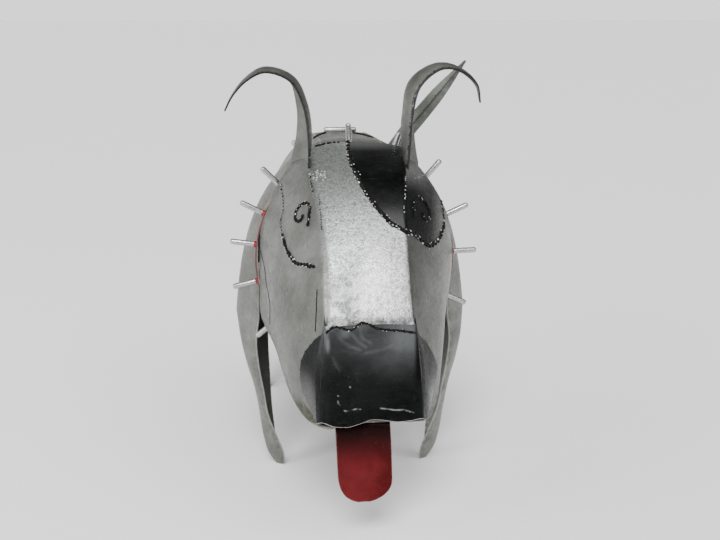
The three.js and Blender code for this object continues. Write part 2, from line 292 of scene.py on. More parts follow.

# Soft changes over the head and the nose: the pixels where each starts and ends, and its share
# A painted highlight on the strip and on its left fold
STRIP_HIGHLIGHT = {"left": (350, 374), "top": (222, 248), "bottom": (324, 308), "right": (390, 408, 0.4)}
RIDGE_HIGHLIGHT = {"left": (322, 325), "right": (331, 327), "top": (228, 250, 0.6)}
HEAD_MIDDLE = 370
LEFT_SHADE = [(262, 318, 0.42), (205, 180, 0.28)]
RIGHT_SHADE = [(236, 262, 0.3), (270, 330, 0.3)]
PATCH_FOLD = 406
PATCH_SHINE = {"front": (178, 215), "side": (429, 442, 0.5)}
# Dust and painted sheen on the eye patch
PATCH_DUST_AND_SHEEN = {"front": (152, 142, 0.5), "side_top": (194, 160, 0.8), "side": (430, 442, 0.35)}
SNOUT_SHINE = {"left": (310, 300), "left_low": (360, 394), "right": (426, 433), "right_low": (368, 400)}
SNOUT_SLANT = {"y": 350, "slope": 0.215}
# Olive grime and painted shade in the lower corner of the jaw
JAW_GRIME_AND_SHADE = {"x": 298, "slope": 1.11, "below": (395, 399), "top": (396, 406), "right": (340, 331)}
# Dust, painted sheen and painted highlights on the nose
NOSE_DUST_AND_SHEEN = {"bottom": (388, 338), "least": 0.35, "more": (366, 408, 0.45), "right": (418, 413)}
NOSE_SHINE = {"left": (322.5, 326), "right": (331, 327.5), "least": 0.12, "more": (358, 338, 0.88)}
NOSE_FOLD_HIGHLIGHT = {"x": 328, "y": 346, "tall": 3.2, "fade": (3.2, 0.6, 0.9)}
NOSE_CORNER_HIGHLIGHT = {"x": 345, "y": 333, "tall": 1.0, "fade": (8, 2, 0.5)}
WRINKLE_HIGHLIGHT = (2.6, 0.3, 0.22)

# Curves and sheets


class Curve:
    """A smooth line through all its points, as the solids have it."""

    def __init__(self, points):
        self.points = [Vector(p) for p in points]

    def __call__(self, t):
        points = self.points
        count = len(points)
        at = (count - 1) * min(max(t, 0.0), 1.0)
        i = int(at)
        share = at - i
        if i >= count - 1:
            i = count - 2
            share = 1.0
        p1 = points[i]
        p2 = points[i + 1]
        p0 = points[i - 1] if i > 0 else p1 * 2 - p2
        p3 = points[i + 2] if i + 2 < count else p2 * 2 - p1
        d0 = (p0 - p1).length_squared ** 0.25
        d1 = (p1 - p2).length_squared ** 0.25
        d2 = (p2 - p3).length_squared ** 0.25
        d1 = d1 if d1 > 1e-4 else 1.0
        d0 = d0 if d0 > 1e-4 else d1
        d2 = d2 if d2 > 1e-4 else d1
        t1 = ((p1 - p0) / d0 - (p2 - p0) / (d0 + d1) + (p2 - p1) / d1) * d1
        t2 = ((p2 - p1) / d1 - (p3 - p1) / (d1 + d2) + (p3 - p2) / d2) * d1
        c2 = (p2 - p1) * 3 - t1 * 2 - t2
        c3 = (p1 - p2) * 2 + t1 + t2
        return p1 + t1 * share + c2 * share ** 2 + c3 * share ** 3


def profile(values):
    line = Curve([(i, value, 0) for i, value in enumerate(values)])
    return lambda t: line(t).y


def bow(start, pull, end, t):
    """A point on the curve from start to end that leans towards the pull point."""
    return start * ((1 - t) * (1 - t)) + pull * (2 * t * (1 - t)) + end * (t * t)


def bow_through(start, middle, end, t):
    return bow(start, middle * 2 - start * 0.5 - end * 0.5, end, t)


def smoothstep(x, low, high):
    t = min(max((x - low) / (high - low), 0.0), 1.0)
    return t * t * (3 - 2 * t)


def fade(value, start, end, share=1.0):
    """A share that grows softly while a value goes from start to end, either way round."""
    return share * smoothstep(value, start, end)


def place(p):
    """A point of the dog, in metres in the frame of the solids."""
    return (p + SHIFT) * MM


def steps(count):
    return [i / count for i in range(count + 1)]


def add_object(name, data):
    made = bpy.data.objects.new(name, data)
    bpy.context.scene.collection.objects.link(made)
    return made


def finish_mesh(name, bm, material, nodes=()):
    """A piece from a bmesh, kept inside the box of the solids, in place of their nodes."""
    for vert in bm.verts:
        vert.co = [min(max(c, low), high) for c, low, high in zip(vert.co, *cad_bounds)]
    for face in bm.faces:
        face.smooth = True
    mesh = bpy.data.meshes.new(name)
    bm.to_mesh(mesh)
    bm.free()
    mesh.materials.append(material)
    piece = add_object(name, mesh)
    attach(piece, "root")
    if nodes:
        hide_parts(*nodes)
    return piece


MERGE_WITHIN = 2e-5


def sheet(name, grids, toward, material, nodes):
    """A sheet of even thickness under grids of (point, {value: number}), grown towards a point."""
    bm = bmesh.new()
    keys = dict.fromkeys(("edge", "inside", "fold", *grids[0][0][0][1]))
    layers = {key: bm.verts.layers.float.new(key) for key in keys}
    for grid in grids:
        rows = []
        for row in grid:
            made = []
            for point, numbers in row:
                vert = bm.verts.new(place(point))
                vert[layers["fold"]] = FAR
                for key, number in numbers.items():
                    vert[layers[key]] = number
                made.append(vert)
            rows.append(made)
        for upper, lower in zip(rows, rows[1:]):
            for a, b, c, d in zip(upper, upper[1:], lower[1:], lower):
                bm.faces.new((a, b, c, d))
    bmesh.ops.remove_doubles(bm, verts=bm.verts, dist=MERGE_WITHIN)
    bmesh.ops.recalc_face_normals(bm, faces=bm.faces)
    bm.normal_update()
    target = place(Vector(toward))
    lean = sum(f.normal.dot(target - f.calc_center_median()) * f.calc_area() for f in bm.faces)
    if lean > 0:
        bmesh.ops.reverse_faces(bm, faces=bm.faces)
        bm.normal_update()

    border = [e for e in bm.edges if e.is_boundary]
    tree = KDTree(len(border) * 2)
    for i, e in enumerate(border):
        tree.insert(e.verts[0].co, 2 * i)
        tree.insert((e.verts[0].co + e.verts[1].co) / 2, 2 * i + 1)
    tree.balance()
    outer = list(bm.verts)
    for vert in outer:
        vert[layers["edge"]] = tree.find(vert.co)[2] / MM
    faces = list(bm.faces)
    inner = {}
    for vert in outer:
        copy = bm.verts.new(vert.co - vert.normal * SHEET * MM, vert)
        copy.co.z = max(copy.co.z, 0.0)
        copy[layers["inside"]] = 1.0
        inner[vert] = copy
    for face in faces:
        bm.faces.new([inner[v] for v in reversed(face.verts)])
    for e in border:
        loop = e.link_loops[0]
        a = loop.vert
        b = loop.link_loop_next.vert
        bm.faces.new((b, a, inner[a], inner[b]))
        e.smooth = False
        bm.edges.get((inner[a], inner[b])).smooth = False
    bmesh.ops.recalc_face_normals(bm, faces=bm.faces)
    return finish_mesh(name, bm, material, nodes)


def plain_grid(surface, columns, rows):
    return [[(surface(u, v), {}) for v in steps(rows)] for u in steps(columns)]


# The photograph's view

VIEW = Matrix.Translation(CAMERA_AT) @ CAMERA_TURN.to_matrix().to_4x4()
VIEW_BACK = VIEW.inverted()


def pixel_of(point):
    p = VIEW_BACK @ place(point)
    return (FRAME_MIDDLE[0] - FOCAL_PIXELS * p.x / p.z, FRAME_MIDDLE[1] + FOCAL_PIXELS * p.y / p.z)


def ray_through(pixel):
    x = (pixel[0] - FRAME_MIDDLE[0]) / FOCAL_PIXELS
    y = (FRAME_MIDDLE[1] - pixel[1]) / FOCAL_PIXELS
    return (VIEW.to_3x3() @ Vector((x, y, -1))).normalized()


def stretch_distance(pixel, a, b):
    """Pixels to the straight stretch from a to b."""
    dx, dy = b[0] - a[0], b[1] - a[1]
    px, py = pixel[0] - a[0], pixel[1] - a[1]
    t = min(max((px * dx + py * dy) / (dx * dx + dy * dy), 0.0), 1.0)
    return math.hypot(px - t * dx, py - t * dy)


def line_distance(pixel, lines):
    stretches = [pair for line in lines for pair in zip(line, line[1:])]
    return min(FAR, min(stretch_distance(pixel, a, b) for a, b in stretches))


def outline_distance(pixel, outline):
    """Pixels to a closed outline, positive inside it."""
    px, py = pixel
    closed = outline + outline[:1]
    inside = False
    for (ax, ay), (bx, by) in zip(closed, closed[1:]):
        if (ay > py) != (by > py) and px < (bx - ax) * (py - ay) / (by - ay) + ax:
            inside = not inside
    best = min(stretch_distance(pixel, a, b) for a, b in zip(closed, closed[1:]))
    return best if inside else -best


# Shader groups


class Shader:
    """Short ways to add and link the nodes of one node tree."""

    def __init__(self, tree):
        self.tree = tree

    def add(self, kind, inputs=(), **settings):
        node = self.tree.nodes.new(kind)
        for key, value in settings.items():
            setattr(node, key, value)
        for key, value in dict(inputs).items():
            if isinstance(value, bpy.types.NodeSocket):
                self.tree.links.new(value, node.inputs[key])
            else:
                node.inputs[key].default_value = value
        return node

    def math(self, operation, a, b, clamp=False):
        return self.add("ShaderNodeMath", {0: a, 1: b}, operation=operation, use_clamp=clamp).outputs[0]

    def times(self, a, b, clamp=False):
        return self.math("MULTIPLY", a, b, clamp)

    def plus(self, a, b):
        return self.math("ADD", a, b)

    def span(self, value, low, high, to_low=0.0, to_high=1.0):
        inputs = {"Value": value, "From Min": low, "From Max": high, "To Min": to_low, "To Max": to_high}
        return self.add("ShaderNodeMapRange", inputs, interpolation_type="SMOOTHSTEP").outputs["Result"]

    def mix(self, share, a, b):
        """A colour between two others."""
        inputs = {"Factor": share, 6: a, 7: b}
        return self.add("ShaderNodeMix", inputs, data_type="RGBA").outputs[2]

    def blend(self, share, a, b):
        """A number between two others."""
        return self.add("ShaderNodeMix", {"Factor": share, 2: a, 3: b}, data_type="FLOAT").outputs[0]

    def value(self, name):
        """A number that the mesh holds at each vertex."""
        return self.add("ShaderNodeAttribute", attribute_name=name).outputs["Fac"]

    def cloud(self, scale, detail=3.0, rough=0.55, stretch=(1, 1, 1), turn=(0, 0, 0)):
        where = self.add("ShaderNodeTexCoord").outputs["Object"]
        if stretch != (1, 1, 1):
            moves = {"Vector": where, "Scale": stretch, "Rotation": turn}
            where = self.add("ShaderNodeMapping", moves).outputs[0]
        inputs = {"Vector": where, "Scale": scale, "Detail": detail, "Roughness": rough}
        return self.add("ShaderNodeTexNoise", inputs).outputs["Fac"]


def shader_group(name, inputs, outputs, build):
    tree = bpy.data.node_groups.new(name, "ShaderNodeTree")
    for label, value in inputs.items():
        socket = tree.interface.new_socket(label, in_out="INPUT", socket_type="NodeSocketFloat")
        socket.default_value = value
    for label in outputs:
        tree.interface.new_socket(label, in_out="OUTPUT", socket_type="NodeSocketFloat")
    sh = Shader(tree)
    given = sh.add("NodeGroupInput")
    results = build(sh, given.outputs)
    last = sh.add("NodeGroupOutput")
    for label, socket in results.items():
        tree.links.new(socket, last.inputs[label])
    return tree


def zinc_pattern(sh, given):
    """Stains, dapples, grain and the flat flecks of spangle on galvanised sheet."""
    where = sh.add("ShaderNodeTexCoord").outputs["Object"]

    def field(size, detail, rough):
        finer = sh.add("ShaderNodeVectorMath", {0: where, "Scale": given["Fineness"]}, operation="SCALE")
        inputs = {"Vector": finer.outputs[0], "Scale": size, "Detail": detail, "Roughness": rough}
        return sh.add("ShaderNodeTexNoise", inputs).outputs["Fac"]

    cells = sh.add("ShaderNodeTexVoronoi", {"Vector": where, "Scale": 640.0}, feature="F1")
    fleck = sh.add("ShaderNodeSeparateColor", {"Color": cells.outputs["Color"]}).outputs[0]
    return {
        "Stain": sh.span(field(26.0, 3.0, 0.6), 0.32, 0.68),
        "Dapple": sh.span(field(230.0, 4.0, 0.7), 0.38, 0.62),
        "Grain": sh.span(field(560.0, 2.0, 0.6), 0.36, 0.64),
        "Fleck": fleck,
    }


def ragged_edge_band(sh, given):
    """A ragged band that starts at a distance of nothing."""
    rough = sh.cloud(330.0, 3.0, 0.7)
    reach = sh.times(given["Width"], sh.span(rough, 0.3, 0.7, 0.2, 1.7))
    share = sh.math("DIVIDE", given["Distance"], reach)
    return {"Mask": sh.times(sh.span(share, 1.1, 0.7), given["Amount"])}


# Clots near edges and seams: dirt, darker there also as painted shade
def dirt_and_shade_at_edges(sh, given):
    clots = sh.span(sh.cloud(130.0, 4.0, 0.7), 0.38, 0.66)
    near = sh.span(sh.math("DIVIDE", given["Distance"], given["Reach"]), 1.0, 0.0)
    return {"Mask": sh.times(sh.times(near, clots), given["Amount"])}


def paint_limit(sh, given):
    wobble = sh.times(sh.math("SUBTRACT", sh.cloud(300.0, 3.0, 0.6), 0.5), given["Raggedness"])
    return {"Mask": sh.span(sh.plus(given["Distance"], wobble), -0.35, 0.35)}


def fine_scratches(sh, given):
    long_way = sh.cloud(60.0, 2.0, 0.5, (1, 9, 14), (0.3, 0.5, 0.2))
    cross_way = sh.cloud(70.0, 2.0, 0.5, (12, 2, 1.5), (0.2, 0.9, 0.6))
    long_lines = sh.span(long_way, 0.66, 0.74)
    cross_lines = sh.span(cross_way, 0.68, 0.76)
    return {"Mask": sh.times(sh.math("MAXIMUM", long_lines, cross_lines), given["Amount"])}


ZINC = shader_group("Zinc pattern", {"Fineness": 1.0}, ["Stain", "Dapple", "Grain", "Fleck"], zinc_pattern)
EDGE_BAND = shader_group("Ragged edge band", {"Distance": 9.0, "Width": 1.0, "Amount": 1.0}, ["Mask"], ragged_edge_band)
DIRT_AND_SHADE = shader_group("Dirt and shade at edges", {"Distance": 9.0, "Reach": 10.0, "Amount": 1.0}, ["Mask"], dirt_and_shade_at_edges)
LIMIT = shader_group("Paint limit", {"Distance": 0.0, "Raggedness": 2.0}, ["Mask"], paint_limit)
SCRATCHES = shader_group("Fine scratches", {"Amount": 1.0}, ["Mask"], fine_scratches)


def use(sh, group, **inputs):
    node = sh.add("ShaderNodeGroup", node_tree=group)
    for key, value in inputs.items():
        if isinstance(value, bpy.types.NodeSocket):
            sh.tree.links.new(value, node.inputs[key])
        else:
            node.inputs[key].default_value = value
    return node.outputs


def mask(sh, group, **inputs):
    return use(sh, group, **inputs)["Mask"]


def material(name, build, **constants):
    """A material whose build function gives sockets for its shader, and the constants for the rest."""
    made = bpy.data.materials.new(name)
    made.use_nodes = True
    sh = Shader(made.node_tree)
    surface = made.node_tree.nodes["Principled BSDF"]
    for key, value in constants.items():
        surface.inputs[key.replace("_", " ").title().replace("Ior", "IOR")].default_value = value
    for key, socket in build(sh).items():
        if key == "Bump":
            height, strength, depth = socket
            bump = sh.add("ShaderNodeBump", {"Height": height, "Strength": strength, "Distance": depth})
            made.node_tree.links.new(bump.outputs["Normal"], surface.inputs["Normal"])
        else:
            made.node_tree.links.new(socket, surface.inputs[key])
    return made


def grey(value, green=1.0, blue=1.0):
    return (value, value * green, value * blue, 1.0)


def zinc_colour(sh, dark, light, pattern):
    tone = sh.plus(sh.times(pattern["Dapple"], 0.14), sh.times(pattern["Stain"], 0.76))
    return sh.mix(sh.plus(tone, sh.times(pattern["Grain"], 0.1)), dark, light)


BLACKS = ((0.001, 0.0012, 0.0011, 1), (0.005, 0.0056, 0.0056, 1))
BURNT_BLACKS = (grey(0.003), grey(0.016, 0.9375, 0.875))
REDS = ((0.07, 0.0015, 0.003, 1), (0.13, 0.003, 0.006, 1))
TONGUE_REDS = ((0.045, 0.0015, 0.002, 1), (0.1, 0.009, 0.011, 1))
TONGUE_LIGHT = (0.2, 0.008, 0.01, 1)
NOSE_SHADOW_RED = (0.006, 0.001, 0.0008, 1)
SCRATCHED_RED = (0.42, 0.07, 0.07, 1)
WORN_RED = (0.12, 0.05, 0.045, 1)
FOOT_PAINT_ENDS = (3.4, 2.0)
FOOT_RED = (0.2, 0.004, 0.009, 1)
SHEET_DIRT_AND_SHADE = grey(0.045, 1.044, 0.756)
HEAD_DIRT_AND_SHADE = grey(0.045, 1.044, 0.667)
# The ears' dark front edge is painted shade
SHADED_RIM = {"colour": grey(0.006), "width": 1.9, "share": 1.0}
BRIGHT_RIM = {"colour": grey(0.38, 1.0, 0.974), "width": 0.9, "share": 0.6}
TAIL_RIM = {**BRIGHT_RIM, "width": 0.6}
# The strip's darkest and brightest colour down the head, lighter and darker there as painted light and
# shade, and its painted highlight
STRIP_TONES = {
    "crown": (grey(0.25, 1.06, 0.97), grey(0.54, 1.05, 0.98)),
    "brow": (grey(0.2, 1.08, 1.05), grey(0.68, 1.06, 1.05)),
    "snout": (grey(0.07, 1.03, 1.03), grey(0.15, 1.04, 1.04)),
    "highlight": (grey(0.2), grey(0.56)),
}


def plain_zinc(sh, dark=0.14, light=0.235, green=1.01, inner_shade_and_dirt=0.9, rim=BRIGHT_RIM):
    pattern = use(sh, ZINC, Fineness=0.9)
    colour = zinc_colour(sh, grey(dark, green, 0.93), grey(light, green, 0.95), pattern)
    # Inner faces darker: painted shade, with some dirt
    colour = sh.mix(sh.times(sh.value("inside"), inner_shade_and_dirt), colour, grey(0.03, 1.06, 0.9))
    colour = sh.mix(mask(sh, EDGE_BAND, Distance=sh.value("fold"), Width=1.6, Amount=0.6), colour, grey(0.03))
    # Darker near the sheet's edges: dirt and painted shade
    dirt_and_shade = mask(sh, DIRT_AND_SHADE, Distance=sh.value("edge"), Reach=15.0, Amount=0.5)
    colour = sh.mix(dirt_and_shade, colour, SHEET_DIRT_AND_SHADE)
    colour = sh.mix(mask(sh, SCRATCHES, Amount=0.15), colour, grey(0.5))
    # A band at the sheet's edges: bright bare metal, and on the ears painted shade
    rim_band = mask(sh, EDGE_BAND, Distance=sh.value("edge"), Width=rim["width"], Amount=rim["share"])
    colour = sh.mix(rim_band, colour, rim["colour"])
    rough = sh.blend(dirt_and_shade, sh.blend(pattern["Dapple"], 0.5, 0.36), 0.8)
    height = sh.plus(pattern["Dapple"], sh.times(pattern["Stain"], 2.0))
    metal = sh.blend(sh.math("MAXIMUM", dirt_and_shade, rim_band), 0.9, 0.25)
    return {"Base Color": colour, "Roughness": rough, "Metallic": metal, "Bump": (height, 0.12, 0.0006)}


def dirty_zinc(sh):
    pattern = use(sh, ZINC, Fineness=0.9)
    colour = zinc_colour(sh, (0.05, 0.052, 0.035, 1), (0.26, 0.26, 0.22, 1), pattern)
    rough = sh.blend(pattern["Dapple"], 0.75, 0.5)
    return {"Base Color": colour, "Roughness": rough, "Bump": (pattern["Dapple"], 0.3, 0.0008)}


def black_coat(sh, pattern):
    colour = sh.mix(pattern["Stain"], *BLACKS)
    fine = mask(sh, SCRATCHES, Amount=0.22)
    return sh.mix(fine, colour, grey(0.06)), sh.blend(pattern["Dapple"], 0.26, 0.38)


def strip_colours(sh, pattern):
    """Fine spangle, pale on the brow as painted light, with painted shade on the snout, a painted
    highlight, and rubbed bare in places.
    """
    brow = sh.span(sh.value("along"), 0.12, 0.5)
    snout = sh.span(sh.value("along"), 0.42, 0.72)
    ends = []
    for i in range(2):
        tone = sh.mix(brow, STRIP_TONES["crown"][i], STRIP_TONES["brow"][i])
        tone = sh.mix(snout, tone, STRIP_TONES["snout"][i])
        ends.append(sh.mix(sh.value("highlight"), tone, STRIP_TONES["highlight"][i]))
    crystal = sh.plus(sh.times(pattern["Dapple"], 0.3), sh.times(pattern["Fleck"], 0.2))
    crystal = sh.plus(crystal, sh.times(pattern["Grain"], 0.5))
    rubbed = sh.times(sh.span(pattern["Stain"], 0.55, 0.9), sh.times(brow, 0.35))
    return sh.mix(rubbed, sh.mix(sh.span(crystal, 0.03, 0.97), *ends), grey(0.5))


def head_zinc(sh):
    pattern = use(sh, ZINC, Fineness=1.0)
    strip, inside = sh.value("strip"), sh.value("inside")
    colour = zinc_colour(sh, grey(0.13, 1.02, 0.93), grey(0.235, 1.01, 0.95), pattern)
    colour = sh.mix(sh.value("shade"), colour, grey(0.07, 1.03, 0.9))
    colour = sh.mix(strip, colour, strip_colours(sh, pattern))
    # Darker near the edges and at the jaw's corner: dirt, grime and painted shade
    dirt_and_shade = mask(sh, DIRT_AND_SHADE, Distance=sh.value("edge"), Reach=13.0, Amount=0.6)
    dirt_and_shade = sh.math("MAXIMUM", dirt_and_shade, sh.times(sh.value("grime_and_shade"), sh.blend(pattern["Dapple"], 0.55, 1.0)))
    colour = sh.mix(dirt_and_shade, colour, HEAD_DIRT_AND_SHADE)
    colour = sh.mix(mask(sh, DIRT_AND_SHADE, Distance=sh.value("seam"), Reach=3.5, Amount=0.35), colour, grey(0.1))
    colour = sh.mix(mask(sh, SCRATCHES, Amount=0.2), colour, grey(0.7))
    # Inside of the head darker: painted shade, with some dirt
    colour = sh.mix(sh.times(inside, 0.8), colour, grey(0.06, 1.05, 0.98))
    patch = mask(sh, LIMIT, Distance=sh.value("patch"), Raggedness=1.6)
    nose = mask(sh, LIMIT, Distance=sh.value("nose"), Raggedness=2.6)
    outside = sh.math("SUBTRACT", 1.0, inside, clamp=True)
    paint = sh.times(sh.math("MAXIMUM", patch, nose), outside)
    black, black_rough = black_coat(sh, pattern)
    # Black paint lighter with dust and a painted sheen
    colour = sh.mix(paint, colour, sh.mix(sh.value("dust_and_sheen"), black, grey(0.13, 1.02, 0.97)))
    rough = sh.blend(sh.times(strip, 0.5), sh.blend(pattern["Dapple"], 0.46, 0.34), 0.3)
    rough = sh.blend(paint, sh.blend(dirt_and_shade, rough, 0.8), black_rough)
    height = sh.plus(pattern["Dapple"], sh.times(pattern["Stain"], 2.0))
    height = sh.plus(height, sh.times(pattern["Fleck"], sh.times(strip, 0.8)))
    return {
        "Base Color": colour,
        "Roughness": rough,
        "Metallic": sh.blend(paint, sh.blend(dirt_and_shade, 0.92, 0.25), 0.0),
        "Coat Weight": sh.times(paint, sh.value("polish")),
        "Bump": (height, 0.14, 0.0006),
    }


def nose_black(sh):
    pattern = use(sh, ZINC, Fineness=0.8)
    colour, rough = black_coat(sh, pattern)
    # Bare metal at the lip and in scratches, and a painted highlight of bare metal on the left fold
    scratch_and_highlight_share = sh.times(sh.span(sh.value("scratches_and_highlight"), 0.75, 0.1), 0.3)
    bare_metal_and_highlight = sh.math("MAXIMUM", sh.span(sh.value("lip"), 0.35, 0.65), scratch_and_highlight_share, clamp=True)
    # Lighter with dust, painted sheen and painted highlights
    dust_and_sheen_share = sh.times(sh.value("dust_and_sheen"), sh.blend(pattern["Stain"], 0.6, 1.2), clamp=True)
    colour = sh.mix(dust_and_sheen_share, colour, grey(0.085, 1.05, 1.07))
    colour = sh.mix(bare_metal_and_highlight, colour, grey(0.55, 0.99, 0.97))
    creases = sh.cloud(85.0, 4.0, 0.62, (1.0, 1.0, 2.2), (0.0, 0.7, 0.0))
    height = sh.plus(sh.times(creases, 2.2), sh.times(pattern["Grain"], 0.25))
    return {
        "Base Color": colour,
        "Roughness": sh.blend(bare_metal_and_highlight, rough, 0.4),
        "Metallic": sh.times(bare_metal_and_highlight, 0.85),
        "Coat Weight": sh.value("polish"),
        "Bump": (height, 0.3, 0.0012),
    }


def red_coat(sh, shadowed_tongue=False):
    pattern = use(sh, ZINC, Fineness=0.6)
    if shadowed_tongue:
        colour = sh.mix(pattern["Stain"], *TONGUE_REDS)
        colour = sh.mix(sh.times(pattern["Grain"], 0.12), colour, TONGUE_LIGHT)
        # Painted shadow of the nose over the tongue's top
        colour = sh.mix(sh.value("nose_shadow"), colour, NOSE_SHADOW_RED)
    else:
        colour = sh.mix(pattern["Stain"], *REDS)
    colour = sh.mix(mask(sh, SCRATCHES, Amount=0.05), colour, SCRATCHED_RED)
    rim_band = mask(sh, EDGE_BAND, Distance=sh.value("edge"), Width=0.8, Amount=0.75)
    colour = sh.mix(rim_band, colour, WORN_RED)
    rough = sh.blend(pattern["Dapple"], 0.28, 0.4)
    height = sh.plus(pattern["Stain"], sh.times(pattern["Grain"], 0.15))
    return {"Base Color": colour, "Roughness": rough, "Bump": (height, 0.25, 0.0012)}


def drawn_bar(sh):
    pattern = use(sh, ZINC, Fineness=1.2)
    colour = sh.mix(pattern["Dapple"], grey(0.36), grey(0.43))
    foot = sh.span(sh.value("foot"), *FOOT_PAINT_ENDS)
    colour = sh.mix(foot, colour, FOOT_RED)
    colour = sh.mix(mask(sh, SCRATCHES, Amount=0.12), colour, grey(0.2))
    rough = sh.blend(pattern["Grain"], 0.24, 0.36)
    return {
        "Base Color": colour,
        "Roughness": rough,
        "Metallic": sh.blend(foot, 0.95, 0.2),
        "Bump": (pattern["Grain"], 0.08, 0.0004),
    }


def burnt_weld(sh):
    pattern = use(sh, ZINC, Fineness=1.6)
    colour = sh.mix(pattern["Fleck"], *BURNT_BLACKS)
    rough = sh.blend(pattern["Grain"], 0.16, 0.34)
    return {"Base Color": colour, "Roughness": rough, "Bump": (pattern["Grain"], 0.4, 0.0006)}


def bright_weld(sh, dark=0.2, light=0.6):
    pattern = use(sh, ZINC, Fineness=1.6)
    colour = sh.mix(pattern["Fleck"], grey(dark), grey(light))
    rough = sh.blend(pattern["Grain"], 0.25, 0.5)
    return {"Base Color": colour, "Roughness": rough, "Bump": (pattern["Grain"], 0.4, 0.0006)}


SHADED_INSIDE_ZINC = material("galvanised sheet with shaded inside", plain_zinc)
LIT_ZINC = material("galvanised sheet with lit inside", lambda sh: plain_zinc(sh, inner_shade_and_dirt=0.35))
EAR_ZINC = material(
    "galvanised ear sheet with painted shade at its edge",
    lambda sh: plain_zinc(sh, 0.1, 0.175, inner_shade_and_dirt=0.0, rim=SHADED_RIM),
)
TAIL_ZINC = material("weathered tail sheet", lambda sh: plain_zinc(sh, 0.07, 0.17, 1.05, rim=TAIL_RIM))
DIRTY_ZINC = material("dirty galvanised sheet with shaded inside", dirty_zinc, metallic=0.4)
HEAD_ZINC = material(
    "galvanised head sheet with black paint", head_zinc, specular_ior_level=0.1, coat_roughness=0.2,
)
NOSE_BLACK = material("black nose paint", nose_black, specular_ior_level=0.07, coat_roughness=0.2)
RED_COAT = material("red paint", red_coat, specular_ior_level=0.3)
TONGUE_RED = material("worn red tongue paint", lambda sh: red_coat(sh, True), specular_ior_level=0.06)
DRAWN_BAR = material("drawn steel bar", drawn_bar)
BURNT_WELD = material("burnt weld bead", burnt_weld, specular_ior_level=0.04)
BRIGHT_WELD = material("bright weld bead", bright_weld, metallic=0.9)
DULL_WELD = material("dull weld bead", lambda sh: bright_weld(sh, 0.07, 0.17), metallic=0.8)

# Head

ridge = Curve(RIDGE)
cheek = Curve(CHEEK)
jaw = Curve(JAW)


def mirrored(p, sign):
    return Vector((p.x * sign, p.y, p.z))


def beaten(p, dents):
    """A point moved a little, as hand-shaped sheet is never quite even."""
    return p + noise.noise_vector(p / dents["size"]) * dents["height"]


def painted_values(p, s):
    """Paint edges, shine, dust and painted sheen, painted highlight, grime and painted shade at a point of
    the head, from where the photograph shows them.
    """
    pixel = pixel_of(p)
    x, y = pixel
    on_snout = s > SNOUT_FROM
    patch = nose = FAR_OUTSIDE
    if p.x > PATCH_REACH["x"] and p.z > PATCH_REACH["z"] and s < PATCH_REACH["s"]:
        patch = outline_distance(pixel, PATCH_EDGE + PATCH_TOP)
    if on_snout:
        nose = outline_distance(pixel, NOSE_EDGE)

    # Painted highlight on the strip and on its left fold
    highlight = fade(x, *STRIP_HIGHLIGHT["left"]) * fade(y, *STRIP_HIGHLIGHT["top"]) * fade(y, *STRIP_HIGHLIGHT["bottom"])
    highlight *= 1 - fade(x, *STRIP_HIGHLIGHT["right"])
    highlight += fade(x, *RIDGE_HIGHLIGHT["left"]) * fade(x, *RIDGE_HIGHLIGHT["right"]) * fade(y, *RIDGE_HIGHLIGHT["top"])
    dust_and_sheen = 0.0
    if on_snout:
        across = x - SNOUT_SLANT["slope"] * (y - SNOUT_SLANT["y"])
        polish = fade(across, *SNOUT_SHINE["left"]) * fade(y, *SNOUT_SHINE["left_low"])
        polish += fade(x, *SNOUT_SHINE["right"]) * fade(y, *SNOUT_SHINE["right_low"])
    elif x < PATCH_FOLD:
        polish = fade(y, *PATCH_SHINE["front"])
        dust_and_sheen = fade(y, *PATCH_DUST_AND_SHEEN["front"])
    else:
        polish = fade(x, *PATCH_SHINE["side"])
        dust_and_sheen = fade(y, *PATCH_DUST_AND_SHEEN["side_top"]) + fade(x, *PATCH_DUST_AND_SHEEN["side"])
    # Grime and painted shade in the jaw's lower corner
    below = y - JAW_GRIME_AND_SHADE["slope"] * (x - JAW_GRIME_AND_SHADE["x"])
    grime_and_shade = fade(below, *JAW_GRIME_AND_SHADE["below"]) * fade(y, *JAW_GRIME_AND_SHADE["top"]) * fade(x, *JAW_GRIME_AND_SHADE["right"])
    shades = LEFT_SHADE if x < HEAD_MIDDLE else RIGHT_SHADE
    return {
        "patch": patch,
        "nose": nose,
        "highlight": highlight,
        "polish": polish,
        "dust_and_sheen": dust_and_sheen,
        "shade": sum(fade(y, *shade) for shade in shades),
        "grime_and_shade": grime_and_shade,
        "along": s,
    }


